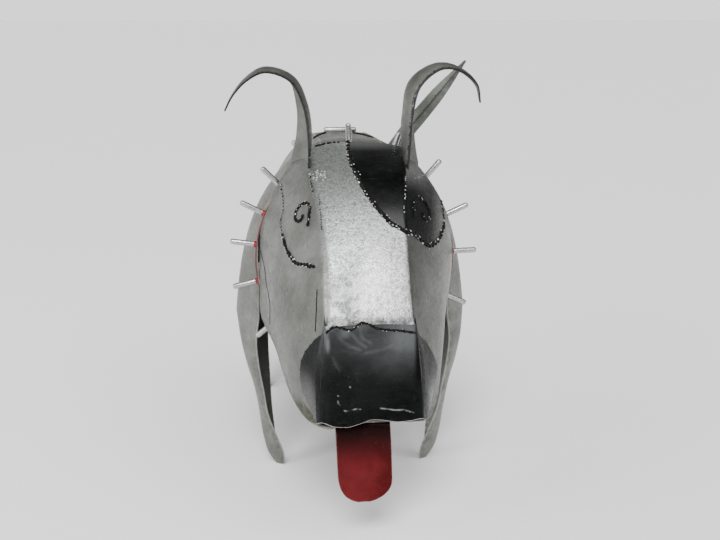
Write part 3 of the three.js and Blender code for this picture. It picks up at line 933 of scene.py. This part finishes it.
def head_section(s):
    """Points across the head from one lower edge to the other, with their share of strip."""
    top, pull, low = ridge(s), cheek(s), jaw(s)
    crown = HEAD_CROWN * (1 - CROWN_FADE * s)

    def on_strip(q):
        return Vector((q * top.x, top.y, top.z + crown * (1 - q * q)))

    halves = []
    for sign in (-1, 1):
        narrow, wide = FOLD_RADIUS[sign]
        radius = narrow + fade(s, *FOLD_WIDENS, wide - narrow)
        v_start = radius / (2 * (pull - top).length)
        q_end = sign * (1 - radius / top.x)
        corner = mirrored(top, sign)
        chain = []
        for t in reversed(steps(HEAD_STEPS["side"])):
            v = v_start + (1 - v_start) * t ** HEAD_STEPS["closer_to_fold"]
            p = bow(top, pull, low, v)
            spread = RIM_SPREAD[sign] * math.sin(math.pi * v) ** 2
            spread -= fade(v, *RIM_PINCH_LOW, RIM_PINCH[sign]) * fade(1 - v, *RIM_PINCH_END)
            p.x += spread * fade(s, *RIM_REACH)
            chain.append((mirrored(p, sign), 0.0))
        foot = chain[-1][0]
        for t in steps(HEAD_STEPS["fold"])[1:-1]:
            chain.append((bow(foot, corner, on_strip(q_end), t), t))
        for t in steps(HEAD_STEPS["strip"]):
            chain.append((on_strip(q_end * (1 - t)), 1.0))
        halves.append([(beaten(p, HEAD_DENTS), share, (p - corner).length) for p, share in chain])
    return halves[0] + list(reversed(halves[1]))[1:]


def head_shell():
    grid = []
    for t in steps(HEAD_STEPS["along"]):
        s = HEAD_END * t
        row = []
        for p, share, seam in head_section(s):
            row.append((p, {"strip": share, "seam": seam, **painted_values(p, s)}))
        grid.append(row)
    nodes = ("head_centre_strip", "head_left_side", "head_right_side")
    return sheet("head_shell", [grid], (0, -90, 250), HEAD_ZINC, nodes)


def nose_finish(pixel):
    """Where the nose paint is scratched, dusty and polished, with painted sheen and painted highlights."""
    x, y = pixel
    dust_and_sheen = NOSE_DUST_AND_SHEEN["least"] + fade(x, *NOSE_DUST_AND_SHEEN["more"])
    dust_and_sheen *= fade(y, *NOSE_DUST_AND_SHEEN["bottom"]) * fade(x, *NOSE_DUST_AND_SHEEN["right"])
    dust_and_sheen += fade(line_distance(pixel, NOSE_WRINKLES), *WRINKLE_HIGHLIGHT)
    for spot in (NOSE_CORNER_HIGHLIGHT, NOSE_FOLD_HIGHLIGHT):
        dust_and_sheen += fade(math.hypot(x - spot["x"], (y - spot["y"]) / spot["tall"]), *spot["fade"])
    polish = NOSE_SHINE["least"] + fade(y, *NOSE_SHINE["more"])
    polish *= fade(x, *NOSE_SHINE["left"]) * fade(x, *NOSE_SHINE["right"])
    # Scratches, and a painted highlight where the fold shines
    scratches_and_highlight = min(line_distance(pixel, NOSE_SCRATCHES), 0.8 - 0.25 * polish)
    return {"scratches_and_highlight": scratches_and_highlight, "dust_and_sheen": dust_and_sheen, "polish": polish}


def nose_front():
    lip = profile(LIP)
    top, bottom = ridge(1), jaw(1)
    radius, cover = NOSE["fold"], NOSE["cover"]

    def crumple(x, z, q, v):
        upper = smoothstep(0.62 - v, 0.0, 0.5) * smoothstep(0.55 - q, 0.0, 0.9)
        calm = smoothstep(1 - abs(q), 0.0, 0.2) * smoothstep(1 - v, 0.0, 0.12)
        slanted = Vector((0.5 * x + 0.8 * z, 0.12 * (0.8 * x - 0.5 * z), 3.0)) / CRUMPLE["fold_size"]
        folds = (0.2 + 1.3 * upper) * (1 - abs(noise.noise(slanted)) * 2.4)
        waves = noise.noise(Vector((x, 5.0, z)) / CRUMPLE["wave_size"])
        return calm * (folds * CRUMPLE["fold_depth"] + waves * CRUMPLE["wave_depth"])

    def front(q, v):
        p = top.lerp(bottom, v)
        wide = p.x + cover
        p.x = q * wide
        crown = HEAD_CROWN * (1 - CROWN_FADE) * (1 - q * q) * (1 - v)
        p.z = (top.z + crown) * (1 - v) + lip((q + 1) / 2) * v
        p.y -= NOSE["bulge"] * (1 - q * q) * math.sin(math.pi * min(v + 0.12, 1))
        p.y = max(p.y - crumple(p.x, p.z, q, v), bottom.y)
        return p

    def section(v):
        chains = []
        for sign in (-1, 1):
            corner = front(sign, v)
            back = mirrored(bow(ridge(NOSE["back"]), cheek(NOSE["back"]), jaw(NOSE["back"]), v), sign)
            back.x += sign * cover
            backwards = (back - corner).normalized()
            q_end = sign * (1 - radius / abs(corner.x))
            chain = [corner + backwards * reach for reach in (*NOSE["wraps"], radius)]
            for t in steps(NOSE["fold_steps"])[1:-1]:
                chain.append(bow(corner + backwards * radius, corner, front(q_end, v), t))
            for t in steps(NOSE["side_steps"]):
                chain.append(front(q_end * (1 - t), v))
            chains.append(chain)
        return chains[0] + list(reversed(chains[1]))[1:]

    rows = [[(p + NOSE["tuck"], 0.0) for p in section(0.0)]]
    rows += [[(p, 0.0) for p in section(v)] for v in steps(NOSE["rows"])]
    last = [p for p, _ in rows[-1]]
    rows += [[(p + turn, 1.0) for p in last] for turn in NOSE_LIP_TURNS]
    grid = []
    for row in rows:
        grid.append([(p, {"lip": lipped, **nose_finish(pixel_of(p))}) for p, lipped in row])
    return sheet("nose_front", [grid], (0, -100, 190), NOSE_BLACK, ("nose_plate",))


def jaw_floor():
    plate = JAW_PLATE

    def surface(u, v):
        s = plate["back"] + (plate["front"] - plate["back"]) * v
        q = 2 * u - 1
        p = jaw(s)
        sag = plate["sag"] * (1 - fade(q, *plate["less_sag_left"])) * fade(abs(q), *plate["sag_beside"])
        sag *= fade(s, *plate["sag_ahead"]) * fade(s, *plate["sag_ends"])
        p.z -= plate["drop"] + sag * (1 - q ** 6)
        p.x *= q
        return p

    grid = plain_grid(surface, 44, 50)
    return sheet("jaw_floor", [grid], (0, -90, 300), DIRTY_ZINC, ("lower_jaw",))


def tongue_strip():
    line = Curve(TONGUE_LINE)
    turned = TONGUE["turn"]

    def surface(u, v):
        q = 2 * u - 1
        straight = min(v / TONGUE["straight"], 1)
        turn = turned * max(v - TONGUE["straight"], 0) / (1 - TONGUE["straight"])
        rounded = math.sin(turn) / math.sin(turned)
        p = line(TONGUE["round_from"] * straight + (1 - TONGUE["round_from"]) * rounded)
        p.x += q * TONGUE["half"] * math.cos(turn)
        p.y += TONGUE["hollow"] * (1 - q * q) * math.cos(turn)
        p.y += TONGUE_WAVES["height"] * noise.noise(p / TONGUE_WAVES["size"])
        return p

    grid = []
    for u in steps(24):
        column = [surface(u, v) for v in steps(72)]
        grid.append([(p, {"nose_shadow": fade(p.z, *TONGUE_NOSE_SHADOW)}) for p in column])
    return sheet("tongue_strip", [grid], (0, 0, 90), TONGUE_RED, ("tongue",))


def ear_leaf(side, sign, head_tree):
    """A cupped leaf that hooks outwards, standing on the head, with a dark edge of painted shade at the
    front.
    """
    outline = EARS[side]
    edge = Curve([(x, EAR_FRONT_Y, z) for x, z in outline])
    depth, cup, lean = profile(EAR_DEPTH), profile(EAR_CUP[side]), profile(EAR_LEAN)

    def head_top(x, y):
        hit = head_tree.ray_cast(place(Vector((x * sign, y, ABOVE_HEAD))), Vector((0, 0, -1)))[0]
        return hit.z / MM + EAR_LIFT if hit else outline[0][1]

    def surface(u, v):
        p = edge(v)
        ahead = (edge(min(v + 0.01, 1)) - edge(max(v - 0.01, 0))).normalized()
        rise = 4 * cup(v) * u * (1 - u) - lean(v) * u
        p.x -= ahead.z * rise
        p.z += ahead.x * rise
        p.y += depth(v) * u
        foot = max(0, 1 - v / EAR_FOOT)
        from_front = min(u / EAR_FRONT_SHARE, 1)
        p.x += EAR_FLARE * from_front * max(0, 1 - v / EAR_FLARE_FROM) ** 2
        if foot > 0:
            p.z += (head_top(p.x, p.y) - outline[0][1] - EAR_SINK * from_front) * foot
        return mirrored(p, sign)

    grid = [[(surface(u, v), {"from_front": depth(v) * u}) for v in steps(96)] for u in steps(18)]
    toward, nodes = (sign * 100, -30, 440), (f"{side}_ear",)
    leaf = sheet(f"{side}_ear_leaf", [grid], toward, EAR_ZINC, nodes)
    edge_values = leaf.data.attributes["edge"].data
    for i, item in enumerate(leaf.data.attributes["from_front"].data):
        edge_values[i].value = item.value
    return leaf


# Collar


def collar_ring():
    def surface(u, v):
        angle = 2 * math.pi * u
        x = COLLAR["x"] + COLLAR["wide"] * math.cos(angle)
        y = COLLAR["front"] + (COLLAR["back"] - COLLAR["front"]) * v
        return Vector((x, y, COLLAR["z"] + COLLAR["high"] * math.sin(angle)))

    grid = plain_grid(surface, 160, 8)
    middle = (COLLAR["x"], 2, COLLAR["z"])
    return sheet("collar_ring", [grid], middle, RED_COAT, ("collar_band",))


def turned_bar(name, outline, start, direction, nodes):
    """A round bar from an outline of (radius, height, height above the painted foot)."""
    bm = bmesh.new()
    foot = bm.verts.layers.float.new("foot")
    turn = Vector((0, 0, 1)).rotation_difference(direction)
    rings = []
    for radius, height, painted in outline:
        ring = []
        for i in range(BAR_SIDES):
            angle = 2 * math.pi * i / BAR_SIDES
            local = Vector((radius * math.cos(angle), radius * math.sin(angle), height))
            vert = bm.verts.new(place(start + turn @ local))
            vert[foot] = painted
            ring.append(vert)
        rings.append(ring)
    for lower, upper in zip(rings, rings[1:]):
        for i in range(BAR_SIDES):
            j = (i + 1) % BAR_SIDES
            bm.faces.new((lower[i], lower[j], upper[j], upper[i]))
    bm.faces.new(list(reversed(rings[0])))
    bm.faces.new(rings[-1])
    bmesh.ops.recalc_face_normals(bm, faces=bm.faces)
    return finish_mesh(name, bm, DRAWN_BAR, nodes)


def dome(length):
    """The rounded end of a bar, flatter than a half ball."""
    points = []
    for share in (0, 0.25, 0.5, 0.7, 0.85, 0.95):
        angle = share * math.pi / 2
        height = length - DOME_FLATNESS * ROD / 2 * (1 - math.sin(angle))
        points.append((ROD / 2 * math.cos(angle), height, FAR))
    return points


def spikes():
    radius = ROD / 2
    for i, degrees in enumerate(SPIKE_ANGLES):
        angle = math.radians(degrees)
        reach = 1 / math.hypot(math.cos(angle) / COLLAR["wide"], math.sin(angle) / COLLAR["high"])
        out = Vector((math.cos(angle), 0, math.sin(angle)))
        start = Vector((COLLAR["x"], 0, COLLAR["z"])) + out * (reach - SPIKE_SUNK)
        fillet = radius + dice.uniform(0.7, 1.4)
        outline = [(fillet, 0, 0), (fillet - 0.3, 0.6, 0.4), (radius + 0.5, 1.5, 1.3)]
        outline += [(radius, 2.6, 2.4), (radius, 4, 4)] + dome(SPIKE_LENGTH + 0.7)
        label = f"{i + 1:02d}"
        turned_bar(f"spike_{label}", outline, start, out, (f"collar_spike_{label}",))


# Body

back_edge = Curve(BACK_EDGE)
flank = Curve(FLANK)
belly = Curve(BELLY)
BODY_SHIFT = Vector((BODY_X, 0, 0))


def leg_grid(which, sections, finished):
    """One leg's trough, which grows out of the lower edge of the body."""
    lines = []
    for part in ("front", "outer", "rear"):
        lines.append(Curve([(x, y, z) for (x, y), z in zip(sections[part], LEG_LEVELS)]))
    first, last = LEG_COLUMNS[which]
    grid = []
    for i in range(first, last + 1):
        t = (i - first) / (last - first)
        step = belly(i / BODY_COLUMNS) - bow_through(*(line(0) for line in lines), t)
        column = []
        for v in steps(60):
            p = bow_through(*(line(v) for line in lines), t)
            p = finished(p + step * (1 - fade(v, *LEG_BLEND)))
            p.z = 0.0 if v == 1 else max(p.z, 0.0)
            column.append((p, {}))
        grid.append(column)
    return grid


def side_with_legs(side, sign):
    def finished(p):
        return mirrored(beaten(p, BODY_DENTS), sign) + BODY_SHIFT

    def flank_sheet(u, v):
        return finished(bow(back_edge(u), flank(u), belly(u), v))

    grids = [plain_grid(flank_sheet, BODY_COLUMNS, 32)]
    grids += [leg_grid("front", FRONT_LEG, finished), leg_grid("hind", HIND_LEG, finished)]
    # Inside of the left side painted lit, of the right side painted shaded
    zinc = LIT_ZINC if sign > 0 else SHADED_INSIDE_ZINC
    nodes = (f"body_{side}_side", f"{side}_front_leg", f"{side}_hind_leg")
    return sheet(f"{side}_side_with_legs", grids, (0, 170, 250), zinc, nodes)


def back_sheet():
    def surface(u, v):
        q = 2 * u - 1
        p = back_edge(v * BACK_END)
        p.z += BACK_CROWN * (1 - q * q) - BACK_SUNK
        p.x = q * p.x
        return p + BODY_SHIFT

    grid = plain_grid(surface, 20, 80)
    return sheet("back_sheet", [grid], (0, 170, 200), SHADED_INSIDE_ZINC, ("back_strip",))


def back_bar():
    one_end = dome(BACK_ROD["length"] / 2)
    outline = [(radius, -height, FAR) for radius, height, _ in reversed(one_end)] + one_end
    start = Vector((BACK_ROD["x"], BACK_ROD["y"], BACK_ROD["z"]))
    turned_bar("back_bar", outline, start, Vector((1, 0, 0)), ("back_rod",))


def tail_leaf():
    line = Curve(TAIL)
    half = profile(TAIL_HALF_WIDTH)

    def surface(u, v):
        q = 2 * u - 1
        ahead = line(min(v + 0.01, 1)) - line(max(v - 0.01, 0))
        sideways = ahead.cross(Vector((0, 1, 0))).normalized()
        p = line(v) + sideways * (q * half(v))
        p.y += TAIL_FOLD * abs(q) * half(v)
        return p, {"fold": abs(q) * half(v)}

    grid = [[surface(u, v) for v in steps(90)] for u in steps(12)]
    return sheet("tail_leaf", [grid], (80, 900, 400), TAIL_ZINC, ("tail",))


# Weld beads


def tree_of(pieces):
    points, faces = [], []
    for piece in pieces:
        start = len(points)
        points += [v.co.copy() for v in piece.data.vertices]
        faces += [[start + i for i in polygon.vertices] for polygon in piece.data.polygons]
    return BVHTree.FromPolygons(points, faces)


def evenly_along(pixels, spacing):
    """Points at an even spacing along a line of pixels."""
    line = Curve([(x, y, 0) for x, y in pixels])
    fine = [line(t) for t in steps(60 * len(pixels))]
    points = [fine[0]]
    gone = 0.0
    for a, b in zip(fine, fine[1:]):
        gone += (b - a).length
        if gone >= spacing:
            points.append(b)
            gone = 0.0
    return points


def add_blob(bm, centre, normal, ahead, size, material_index=0):
    """A flattened ball on a sheet, with its length, width and height in size."""
    across = normal.cross(ahead).normalized()
    ahead = across.cross(normal).normalized()
    turn = Matrix((ahead, across, normal)).transposed().to_4x4()
    shape = Matrix.Translation(centre) @ turn @ Matrix.Diagonal((*(part * MM for part in size), 1))
    before = len(bm.faces)
    bmesh.ops.create_icosphere(bm, subdivisions=2, radius=1, matrix=shape)
    bm.faces.ensure_lookup_table()
    for face in bm.faces[before:]:
        face.material_index = material_index


def rump_seam_weld():
    """Weld that closes the seam between the two sides, under the tail."""
    bm = bmesh.new()
    weld = RUMP_WELD
    for t in steps(weld["beads"]):
        p = bow(back_edge(1), flank(1), belly(1), weld["from"] + weld["share"] * t)
        centre = place(Vector((BODY_X, p.y - weld["sunk"], p.z)))
        length = weld["length"] * dice.uniform(0.8, 1.2)
        size = (length, p.x + weld["overlap"], weld["height"] * dice.uniform(0.8, 1.1))
        add_blob(bm, centre, Vector((0, 1, 0)), Vector((0, 0, 1)), size)
    return finish_mesh("rump_seam_weld", bm, DULL_WELD)


def add_glint(bm, hit, normal, ahead, size):
    """A small bright spot on a bead, as a painted glint."""
    side = ahead.cross(normal).normalized() * dice.choice((-1, 1, 1))
    reach = dice.uniform(0.4, 1.2)
    rise = 0.75 * max(0.0, 1 - reach * reach) ** 0.5
    radius = size * dice.uniform(0.17, 0.36)
    centre = hit + (side * reach + normal * rise) * size * MM
    add_blob(bm, centre, normal, ahead, (radius * 1.5, radius, radius), 1)


def bead_line(name, tree, lines, size, spacing, bright=0.0, skip=0.0, stray=0.25, metal=None):
    """Beads along lines of pixels on the sheets behind them, as a weld or as painted shade in a crease or
    gap.
    """
    bm = bmesh.new()
    for pixels in lines:
        points = evenly_along(pixels, spacing)
        for i, at in enumerate(points):
            if dice.random() < skip:
                continue
            pixel = (at.x + dice.uniform(-stray, stray), at.y + dice.uniform(-stray, stray))
            hit, normal, _, _ = tree.ray_cast(CAMERA_AT, ray_through(pixel))
            if hit is None:
                continue
            following = points[min(i + 1, len(points) - 1)] - points[max(i - 1, 0)]
            ahead = VIEW.to_3x3() @ Vector((following.x, -following.y, 0))
            length = size * dice.uniform(0.75, 1.3)
            width = size * dice.uniform(0.7, 1.2)
            add_blob(bm, hit, normal, ahead, (length, width, size * dice.uniform(0.6, 0.85)))
            for _ in range(GLINTS_A_BEAD):
                if dice.random() < bright:
                    add_glint(bm, hit, normal, ahead, size)
    piece = finish_mesh(name, bm, metal or BURNT_WELD)
    piece.data.materials.append(BRIGHT_WELD)


# The dog

head = head_shell()
head_tree = tree_of([head])
nose = nose_front()
jaw_floor()
tongue_strip()
ears = [ear_leaf("left", 1, head_tree), ear_leaf("right", -1, head_tree)]
collar_ring()
spikes()
sides = [side_with_legs("left", 1), side_with_legs("right", -1)]
back = back_sheet()
back_bar()
tail_leaf()

# Each line has its bead radius in millimetres and its spacing in pixels
front_tree = tree_of([head, nose, *ears])
bead_line("eye_patch_weld", front_tree, [PATCH_EDGE[:21]], 2.9, 3.5, bright=0.62)
bead_line("eye_patch_side_weld", front_tree, [PATCH_EDGE[20:26]], 1.8, 2.7, bright=0.4, skip=0.1)
bead_line("left_eye_weld", front_tree, [LEFT_EYE, LEFT_EYE_TICK], 2.2, 2.3, bright=0.3)
bead_line("right_eye_weld", front_tree, [RIGHT_EYE], 2.2, 2.3, bright=0.18)
bead_line("cheek_weld", front_tree, [CHEEK_LINE], 2.5, 3.0, bright=0.55)
bead_line("cheek_weld_thin", front_tree, [CHEEK_LINE_THIN], 1.4, 3.3, bright=0.8, skip=0.1)
bead_line("rear_rim_weld", front_tree, [REAR_RIM], 1.7, 2.0, skip=0.1)
bead_line("nose_seam_weld", front_tree, [NOSE_SEAM], 1.4, 1.8, bright=0.1)
# Bright dots along the right fold: weld, and painted glints
bead_line("ridge_weld_glints", front_tree, [RIGHT_RIDGE], 0.9, 1.9, bright=0.3, skip=0.5, metal=BRIGHT_WELD)
bead_line("left_ridge_weld", front_tree, [LEFT_RIDGE], 1.2, 2.4, bright=0.6, skip=0.2)
bead_line(
    "left_ridge_spot", front_tree, [LEFT_RIDGE_SPATTER], 1.1, 1.3, bright=0.3, skip=0.35, stray=2.4,
    metal=BRIGHT_WELD,
)
bead_line("ridge_marks", front_tree, [LEFT_RIDGE_LOW], 0.9, 2.4, bright=0.9, skip=0.3)
# Painted shade in the creases and in the gap between collar and head
bead_line("shade_in_creases", front_tree, SHEET_CREASES, 0.75, 0.9)
bead_line("shade_at_collar", tree_of([head, *sides]), [COLLAR_GAP], 1.4, 0.9)
rump_seam_weld()
# Painted shade under the back rod's ends
bead_line("back_edge_shade", tree_of([back, *sides]), BACK_EDGES, 2.2, 0.45)

# Floor, light and camera


def plain_floor():
    bm = bmesh.new()
    bmesh.ops.create_grid(bm, x_segments=1, y_segments=1, size=FLOOR_HALF)
    mesh = bpy.data.meshes.new("floor")
    bm.to_mesh(mesh)
    bm.free()
    paint = bpy.data.materials.new("pale floor")
    paint.use_nodes = True
    surface = paint.node_tree.nodes["Principled BSDF"]
    surface.inputs["Base Color"].default_value = FLOOR_COLOUR
    surface.inputs["Roughness"].default_value = 0.75
    mesh.materials.append(paint)
    floor = add_object("floor", mesh)


def turned_towards(direction):
    return Vector(direction).to_track_quat("-Z", "Y").to_euler()


def softbox(name, at, toward, size, power):
    light = bpy.data.lights.new(name, "AREA")
    light.shape = "RECTANGLE"
    light.size, light.size_y = size
    light.energy = power
    lamp = add_object(name, light)
    lamp.location = at
    lamp.rotation_euler = turned_towards(Vector(toward) - Vector(at))


def sun(name, comes_from, strength, angle):
    light = bpy.data.lights.new(name, "SUN")
    light.energy = strength
    light.angle = math.radians(angle)
    lamp = add_object(name, light)
    lamp.rotation_euler = turned_towards(-Vector(comes_from))


def camera():
    lens = bpy.data.cameras.new("camera")
    lens.sensor_width = SENSOR
    lens.lens = FOCAL_PIXELS * SENSOR / (2 * FRAME_MIDDLE[0])
    seat = add_object("camera", lens)
    seat.location = CAMERA_AT
    seat.rotation_euler = CAMERA_TURN
    bpy.context.scene.camera = seat


def studio_world():
    """Even light near the horizon, less from overhead and from straight ahead of the dog."""
    world = bpy.data.worlds.new("studio")
    world.use_nodes = True
    sh = Shader(world.node_tree)
    way = sh.add("ShaderNodeTexCoord").outputs["Generated"]
    parts = sh.add("ShaderNodeSeparateXYZ", {"Vector": way}).outputs
    level, ahead, sideways = (sh.span(parts[axis], *SKY[axis]) for axis in "ZYX")
    seen = sh.add("ShaderNodeLightPath").outputs["Is Camera Ray"]
    strength = sh.blend(seen, sh.times(sh.times(level, ahead), sideways), WALL_LEVEL)
    background = world.node_tree.nodes["Background"]
    background.inputs["Color"].default_value = (1.0, 1.0, 1.0, 1)
    world.node_tree.links.new(strength, background.inputs["Strength"])
    bpy.context.scene.world = world


plain_floor()
sun("key", **KEY_SUN)
sun("front_fill", **FILL_SUN)
softbox("left_window", **WINDOW)
studio_world()
camera()

bpy.context.view_layer.update()
